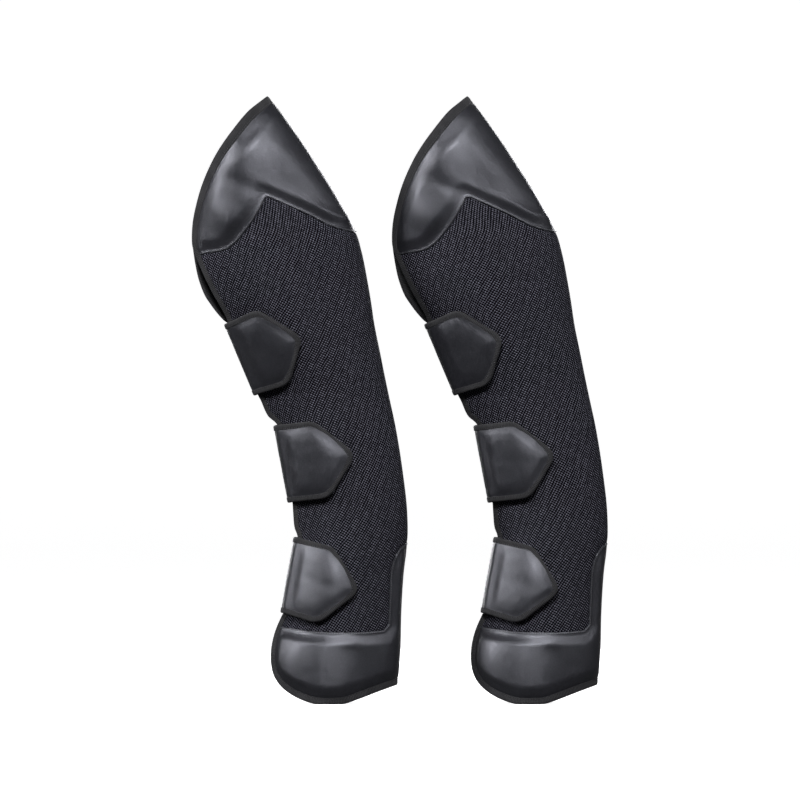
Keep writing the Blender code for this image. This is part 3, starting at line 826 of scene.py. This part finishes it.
def make_half(tag, side):
    """Shapes of all the pieces of one half, by part."""
    rim = cut_at_spine(rim_points(tag))
    inward = left_normals(rim)
    middle = rim[len(rim) // 2] + inward[len(rim) // 2] * 5
    if not inside(middle[None], np.vstack((rim, (0, rim[-1, 1]))))[0]:
        inward = -inward
    top_seam, hoof_seam = seam_path(TOP_SEAM), seam_path(HOOF_SEAM)

    def inset(amount):
        path = rim + inward * amount
        path = path[path[:, 0] >= 0]
        path[[0, -1], 0] = 0.0
        return path

    boundary = inset(TUCK)
    spine_line = resample(np.array((boundary[-1], boundary[0])), 1.0)[1:-1]
    boundary = np.vstack((boundary, spine_line))
    rows = [inset(BINDING + e) for e in RIM_ROWS]
    for seam in (top_seam, hoof_seam):
        normal = left_normals(seam)
        rows += [seam + normal * e for e in SEAM_ROWS]
    rows += [np.stack((np.full(2, e), (boundary[:, 1].min(), boundary[:, 1].max())), 1)
             for e in SPINE_ROWS]
    verts, faces = triangulate(boundary, (top_seam, hoof_seam), rows)

    def beyond(seam, height):
        """Faces on the side of a seam that faces a height outside the boot."""
        round_it = ((-50, seam[-1, 1]), (-50, height), (500, height), (500, seam[0, 1]))
        return inside(verts[faces].mean(1), np.vstack((seam, round_it)))

    above, below = beyond(top_seam, 900), beyond(hoof_seam, -200)
    rim_gap = distance(verts, rim)[0]
    top_gap = distance(verts, resample(top_seam, SEAM_STEP))[0]
    hoof_gap = distance(verts, resample(hoof_seam, SEAM_STEP))[0]
    spine_gap = verts[:, 0]
    dip = rim_dip(rim_gap)
    spine_dip = spine_roll_in(spine_gap)
    past_tape = rim_gap - BINDING
    made = {}
    zones = {"top_cap": above, "hoof_cap": below, "mesh_panel": ~(above | below)}
    for zone, chosen in zones.items():
        used, local = pick(verts, faces, chosen)
        flat = verts[used].copy()
        if zone == "mesh_panel":
            seam_gap = np.minimum(top_gap, hoof_gap)
            out = mesh_offset(flat, seam_gap[used], past_tape[used])
            under = -SKIN
            for seam, gap, sign in ((top_seam, top_gap, -1), (hoof_seam, hoof_gap, 1)):
                hit = gap[used] < ON_SEAM
                line = resample(seam, SEAM_STEP)
                near = distance(flat[hit], line)[1]
                flat[hit] += upward(line)[near] * (SEAM_SINK * sign)
        else:
            gap = top_gap if zone == "top_cap" else hoof_gap
            out = cap_offset(flat, gap[used], past_tape[used], spine_gap[used], zone)
            under = -SKIN + 0.1
        out = out + dip[used] + spine_dip[used]
        under = np.minimum(under + dip[used], out - 0.35)
        made[zone] = slab(surface(flat, out, side), surface(flat, under, side), local,
                          flat * (side, 1), side == OUTER)

    # Foam and lining as one padded body behind the skins.
    outer_face = np.minimum(-SKIN - 0.35 + dip, -1.9)
    quilt = 0.5 * smooth01((rim_gap - BINDING) / 18.0) * (1 + 0.5 * wobble(verts, 30.0, 4.0))
    inner_face = -LAMINATE - quilt - dip * 0.8
    made["padding"] = slab(surface(verts, outer_face, side), surface(verts, inner_face, side),
                           faces, verts, side == OUTER)

    # Binding tape folded over the free edge.
    spots = [(e, h, h + rim_dip(e)) for e, h in BINDING_LEG]
    spots += [(e, h, h) for e, h in BINDING_FOLDS]
    spots += [(e, h, -LAMINATE - h - rim_dip(e) * 0.8) for e, h in reversed(BINDING_LEG)]
    rings = []
    for e, _, offset in spots:
        flat = rim + inward * e
        flat[:, 0] = np.maximum(flat[:, 0], 0.0)
        rings.append(surface(flat, offset, side))
    made["binding"] = sweep(rings, lengths(rim), spots)

    def row(part, path, offset, **how):
        path = path[path[:, 0] > 1.0]
        path = path[inside(path, boundary)]
        normal = tube_normal(flat_station(path), path[:, 1])
        if side == INNER:
            normal[:, 1] *= -1
        add_stitches(made[part], surface(path, offset, side), normal, **how)

    # Stitching along the binding, and thread along the leather's edges in a light colour that is a
    # painted highlight of the edges' lip.
    made["stitching"], made["seam_thread_painted_highlight"] = Shape(), Shape()
    for seam, sign in ((top_seam, 1), (hoof_seam, -1)):
        line = seam + upward(seam) * (SEAM_THREAD_IN * sign)
        line = line[distance(line, rim)[0] > BINDING + 0.5]
        # these stitches carry the painted highlight of the leather's lip in their light colour
        row("seam_thread_painted_highlight", line, SEAM_THREAD_UP, pitch=2.6, length=1.5)
    row("stitching", rim + inward * BINDING_STITCH_IN,
        BINDING_STITCH_UP + rim_dip(BINDING_STITCH_IN))
    return made


def spine_tape():
    """Tape sewn into the seam between the two halves, just under the surface."""
    rim = cut_at_spine(rim_points("outer"))
    low, high = sorted((rim[0, 1], rim[-1, 1]))
    z = np.arange(low + 2.0, high - 6.0, 2.0)
    wide = HALF_GAP + 0.35
    corners = ((-1.0, wide), (-4.0, wide), (-4.0, -wide), (-1.0, -wide))
    rings = [np.stack((spine_x(z) + x, np.full(len(z), y), z), 1) for x, y in corners]
    return sweep(rings, z, corners)


def build_halves():
    seam = spine_tape()
    for boot in BOOTS:
        place_piece(seam, boot, "spine_seam_tape", "tape")
    for tag, side in (("outer", OUTER), ("inner", INNER)):
        made = make_half(tag, side)
        for boot in BOOTS:
            for part, name, kind, nodes, pad in HALF_PIECES:
                place_piece(made[part], boot, f"{tag}_{name}", kind,
                            [f"{tag}_{node}" for node in nodes], pad)


# ---- straps
def height_point(x, z):
    """Point of the tube's outside above a place in the XZ plane."""
    edge = float(edge_x(z)) - EDGE_MARGIN
    spine = float(spine_x(z))
    depth = float(half_depth(z))
    across = (x - edge) / (spine - edge)
    if across >= 0.5:
        reach = min(1.0, 2 * across - 1)
        y = depth * math.sqrt(1 - reach * reach)
    else:
        reach = min(1 - 2 * across, 1.1)
        y = depth - (depth - EDGE_DEPTH) * float(lens(np.array(abs(reach))))
    return np.array((x, -0.6 - y, z))


def strap_frame(strap):
    start = np.array(strap[0], float)
    run = np.array(strap[1], float) - start
    length = float(np.linalg.norm(run))
    down = run / length
    return start, down, np.array((-down[1], down[0])), length


def strap_surface(strap):
    """Ruled surface of the tab as at(reach, place along the fold, offset)."""
    start, down, across, length = strap_frame(strap)
    ends = (-10.0, length + 12.0)

    def on_tube(u, v):
        flat = start + across * u + down * v
        return height_point(flat[0], flat[1])

    def end_point(p, v, offset):
        along = on_tube(p + 2, v) - on_tube(p - 2, v)
        up = on_tube(p, v + 4) - on_tube(p, v - 4)
        normal = np.cross(up, along)
        return on_tube(p, v) + normal / np.linalg.norm(normal) * offset

    def at(p, q, offset):
        mix = (q - ends[0]) / (ends[1] - ends[0])
        return end_point(p, ends[0], offset) * (1 - mix) + end_point(p, ends[1], offset) * mix

    return at


def hinge_reach(strap, at):
    """Place on the tab's surface whose top lies right over the hinge."""
    start, _, across, length = strap_frame(strap)
    low, high = 0.0, 30.0
    for _ in range(24):
        middle = (low + high) / 2
        top = at(middle, length / 2, TAB_LOW + TAB_THICK)
        if np.dot(top[[0, 2]] - start, across) < HINGE_REACH:
            low = middle
        else:
            high = middle
    return high


def strap_path(strap, q, at, reach):
    """Outer face of the strap at one place along the fold: tip, fold, sewn base."""
    start, down, across, _ = strap_frame(strap)
    front = [at(p, q, TAB_LOW + TAB_THICK) for p in np.linspace(strap[3] + 14, reach, 30)]
    origin = start + down * q
    first = at(reach - HINGE_GAP, q, TAB_LOW + TAB_THICK)
    back = at(BASE_START, q, BASE_LIFT + BASE_THICK) * (1, -1, 1)

    def local(place):
        flat = place[[0, 2]] - origin
        return np.array((np.dot(flat, across), place[1], np.dot(flat, down)))

    a, b = local(first), local(back)
    out = -(a[0] + b[0]) / 6 + FOLD_SLACK
    handles = (a, np.array((out, a[1] + (a[0] - out) * 0.9, a[2])),
               np.array((out, b[1] - (b[0] - out) * 0.9, b[2])), b)
    bend = []
    for t in np.linspace(0, 1, 25):
        s = 1 - t
        p = (handles[0] * s ** 3 + handles[1] * 3 * s * s * t
             + handles[2] * 3 * s * t * t + handles[3] * t ** 3)
        flat = origin + across * p[0] + down * p[2]
        bend.append(np.array((flat[0], p[1], flat[1])))
    sewn = [at(p, q, BASE_LIFT + BASE_THICK) * (1, -1, 1)
            for p in np.linspace(BASE_START + 3, BASE_REACH + 8, 14)]
    path = np.array(front + bend + sewn)
    along = lengths(path)
    fold = along[len(front) - 1]
    return path, fold - along


class Strap:
    """Map from (s, q) to space: s along the strap, 0 at the hinge and growing to the tip."""

    def __init__(self, number):
        self.strap = STRAPS[number - 1]
        self.fullness = STRAP_FULLNESS[number - 1]
        self.length = strap_frame(self.strap)[3]
        at = strap_surface(self.strap)
        self.reach = hinge_reach(self.strap, at)
        self.rows = np.linspace(-8, self.length + 10, 13)
        paths = [strap_path(self.strap, q, at, self.reach) for q in self.rows]
        self.low = max(s.min() for _, s in paths)
        self.high = min(s.max() for _, s in paths)
        self.steps = np.linspace(self.low, self.high, int(self.high - self.low) + 1)
        self.table = np.array([interpolate(self.steps, s[::-1], path[::-1]) for path, s in paths])
        self.tip = self.s_of(self.strap[3], TIP_PLACE * self.length, at)
        self.shoulder = self.s_of(self.strap[2], SHOULDER_LEAN, at)
        self.base = self.low + 7.0

    def s_of(self, p, q, at):
        """Distance along the strap of the tab's place p."""
        places = np.linspace(self.reach, p, 40)
        points = np.array([at(v, q, TAB_LOW + TAB_THICK) for v in places])
        return lengths(points)[-1]

    def point(self, flat):
        row = (flat[:, 1] - self.rows[0]) / (self.rows[1] - self.rows[0])
        column = (flat[:, 0] - self.low) / (self.steps[1] - self.steps[0])
        return sample(self.table, row, column)

    def normal(self, flat):
        ds, dq = np.array((1.6, 0.0)), np.array((0.0, 4.0))
        along = self.point(flat + ds) - self.point(flat - ds)
        down = self.point(flat + dq) - self.point(flat - dq)
        return unit(np.cross(down, along))

    def place(self, flat, offset):
        offset = offset + np.zeros(len(flat))
        return self.point(flat) + self.normal(flat) * offset[:, None]

    def thickness(self, s):
        return BASE_THICK + (TAB_THICK - BASE_THICK) * smooth01((s + 9.0) / 14.0)

    def outline(self):
        """Closed outline, clockwise from the base's upper corner."""
        length, lean = self.length, SHOULDER_LEAN
        (up_out, up_rise), (low_out, low_drop), drop = self.fullness
        corners = [(self.base, 0.3), (0.0, -1.3), (self.shoulder + up_out, lean - up_rise),
                   (self.tip + 3.0, TIP_PLACE * length),
                   (self.shoulder + low_out, length + lean / 2 + low_drop),
                   (0.0, length - 0.3 + drop), (self.base, length - 0.3 + drop)]
        out = []
        count = len(corners)
        for i, corner in enumerate(corners):
            place = np.array(corner)
            before = np.array(corners[i - 1]) - place
            after = np.array(corners[(i + 1) % count]) - place
            reach = min(np.linalg.norm(before), np.linalg.norm(after)) * 0.45
            angle = math.acos(np.dot(unit(before), unit(after)))
            reach = min(reach, CORNER_RADII[i] / math.tan(angle / 2))
            first, last = place + unit(before) * reach, place + unit(after) * reach
            for t in np.linspace(0, 1, 9):
                out.append(first * (1 - t) ** 2 + place * 2 * t * (1 - t) + last * t * t)
        out = np.array(out)
        return resample(np.vstack((out, out[:1])), 0.8)[:-1]


def closed_normals(path):
    normal = turned_left(np.roll(path, -1, axis=0) - np.roll(path, 1, axis=0))
    probe = path[0] + normal[0] * 2
    return normal if inside(probe[None], path)[0] else -normal


def build_strap(number):
    """Leather, tape and stitches of one strap, in one piece across its fold."""
    strap = Strap(number)
    rim = strap.outline()
    inward = closed_normals(rim)

    def ring(amount):
        line = rim + inward * amount
        return np.vstack((line, line[:1]))

    rows = [ring(TAB_BINDING + e) for e in (0.0, 1.0, 2.6)]
    verts, faces = triangulate(rim + inward * 2.0, (), rows, TAB_GRID)
    gap = distance(verts, rim)[0] - TAB_BINDING
    s = verts[:, 0]
    on_tab = smooth01((s - 2.0) / 16.0)
    crown = (0.9 * smooth01(gap / 15.0) + 0.5 * smooth01((gap - 1.0) / 5.0)) * on_tab
    crown += 0.15 * wobble(verts + number * 31.0, 13.0, 1.0 + number) * smooth01(gap / 8.0)
    across = (s - 0.42 * strap.tip) / (0.62 * strap.tip)
    down = (verts[:, 1] - strap.length / 2) / (0.55 * strap.length)
    crown += (TAB_CROWN * np.clip(1 - across ** 2, 0, 1) * np.clip(1 - down ** 2, 0, 1)
              * on_tab)
    fold = (verts[:, 1] - 0.52 * strap.length - 0.22 * (s - 0.4 * strap.tip)) / 7.5
    crown -= TAB_CREASE[number - 1] * np.exp(-fold ** 2) * on_tab * smooth01((gap - 2.0) / 14.0)
    at_tape = 1 - smooth01((gap + 4.0) / 4.0)
    out = crown - 0.25 * np.exp(-np.clip(gap, 0, None) / 1.5) - 0.35 * at_tape
    under = -strap.thickness(s) + 0.45 * on_tab + 0.25 * at_tape
    body = slab(strap.place(verts, out), strap.place(verts, under), faces, verts)

    # Tape folded over the strap's edge.
    edge = ring(0.0)
    thick = strap.thickness(edge[:, 0])
    spots = [(e, h, h) for e, h in TAB_LEG]
    spots += [(e, -TAB_THICK * part, -thick * part) for e, part in TAB_FOLDS]
    spots += [(e, -TAB_THICK - h, -thick - h * 0.6 + 0.45) for e, h in reversed(TAB_LEG)]
    rings = [strap.place(ring(e), offset) for e, _, offset in spots]
    binding = sweep(rings, lengths(edge), spots, closed=True)

    # Stitches round the tape, and a box of them that holds the base.
    stitches = Shape()
    low, high = strap.base + BOX_NEAR, strap.base + BOX_FAR
    top, bottom = BOX_INSET, strap.length - BOX_INSET
    box = np.array(((low, top), (high, top), (high, bottom), (low, bottom), (low, top)))
    for line, height in ((ring(TAB_STITCH_IN), 0.30), (resample(box, 1.0), 0.05)):
        add_stitches(stitches, strap.place(line, height), strap.normal(line))
    return body, binding, stitches


def build_straps():
    for number in (1, 2, 3):
        tag = f"strap_{number}"
        shapes = build_strap(number)
        for boot in BOOTS:
            hinge = next(j for j in frame["joints"] if j["name"] == f"{boot}_{tag}_peel")
            x, y, z = hinge["pos_m"]
            for shape, (name, kind, nodes, pad) in zip(shapes, STRAP_PIECES):
                piece = place_piece(shape, boot, f"{tag}_{name}", kind,
                                    [f"{tag}_{node}" for node in nodes], pad, blended=True)
                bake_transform(piece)
            for kind in ("hook", "loop"):
                node = frame["nodes"][f"{boot}_{tag}_{kind}_patch"]
                node.data.materials.clear()
                node.data.materials.append(MATS[kind])


# ---- the set
def studio():
    white = Nodes("studio_white")
    tone = white.mix(white.noise(3.0, 2.0), (0.86, 0.86, 0.86),
                     (0.90, 0.90, 0.90))
    white.finish(Base_Color=tone, Roughness=0.9, Specular_IOR_Level=0.1,
                 Emission_Color=(1.0, 1.0, 1.0), Emission_Strength=DOME_GLOW)
    verts, faces = [(0.0, 0.0, 0.0)], []
    profile = []
    for turn in np.linspace(0, math.pi / 2, 13):
        profile.append((DOME_RADIUS - DOME_BEND * (1 - math.sin(turn)),
                        DOME_BEND * (1 - math.cos(turn))))
    profile.append((DOME_RADIUS, DOME_HEIGHT))
    for radius, z in profile:
        for k in range(DOME_SIDES):
            turn = 2 * math.pi * k / DOME_SIDES
            verts.append((radius * math.cos(turn), radius * math.sin(turn), z))
    for k in range(DOME_SIDES):
        after = (k + 1) % DOME_SIDES
        faces.append((0, 1 + k, 1 + after))
        for i in range(len(profile) - 1):
            low, high = 1 + i * DOME_SIDES, 1 + (i + 1) * DOME_SIDES
            faces.append((low + k, high + k, high + after, low + after))
    mesh = bpy.data.meshes.new("studio_floor_and_wall")
    mesh.from_pydata(verts, [], faces)
    mesh.shade_smooth()
    mesh.materials.append(white.material)
    floor = add_object("studio_floor_and_wall", mesh)
    floor.visible_glossy = False
    floor.visible_diffuse = False

    middle = Vector((0, 0, BOOT_MIDDLE))
    for name, turn, rise, size, power in LAMPS:
        turn, rise = math.radians(turn), math.radians(rise)
        light = bpy.data.lights.new(name, "AREA")
        light.shape = "RECTANGLE"
        light.size, light.size_y = size
        light.energy = power
        light.color = LAMP_COLOUR
        lamp = add_object(name, light)
        lamp.location = (LAMP_AWAY * math.sin(turn) * math.cos(rise),
                         -LAMP_AWAY * math.cos(turn) * math.cos(rise),
                         LAMP_AWAY * math.sin(rise) + BOOT_MIDDLE)
        lamp.rotation_euler = (middle - lamp.location).to_track_quat("-Z", "Y").to_euler()
        lamp.visible_camera = False
    world = bpy.data.worlds.new("studio_world")
    world.use_nodes = True
    background = world.node_tree.nodes["Background"].inputs
    background[0].default_value = (*WORLD_COLOUR, 1)
    background[1].default_value = WORLD_LIGHT
    scene = bpy.context.scene
    scene.world = world

    camera = bpy.data.cameras.new("camera")
    camera.lens = CAMERA_LENS
    camera.sensor_width = 36
    seat = add_object("camera", camera)
    seat.location = ((PAIR_SHIFT - CAMERA_SIDE) * MM, -CAMERA_AWAY, CAMERA_HEIGHT)
    seat.rotation_euler = (math.radians(90), 0, 0)
    scene.camera = seat
    scene.view_settings.view_transform = "Standard"


studio()
build_halves()
build_straps()
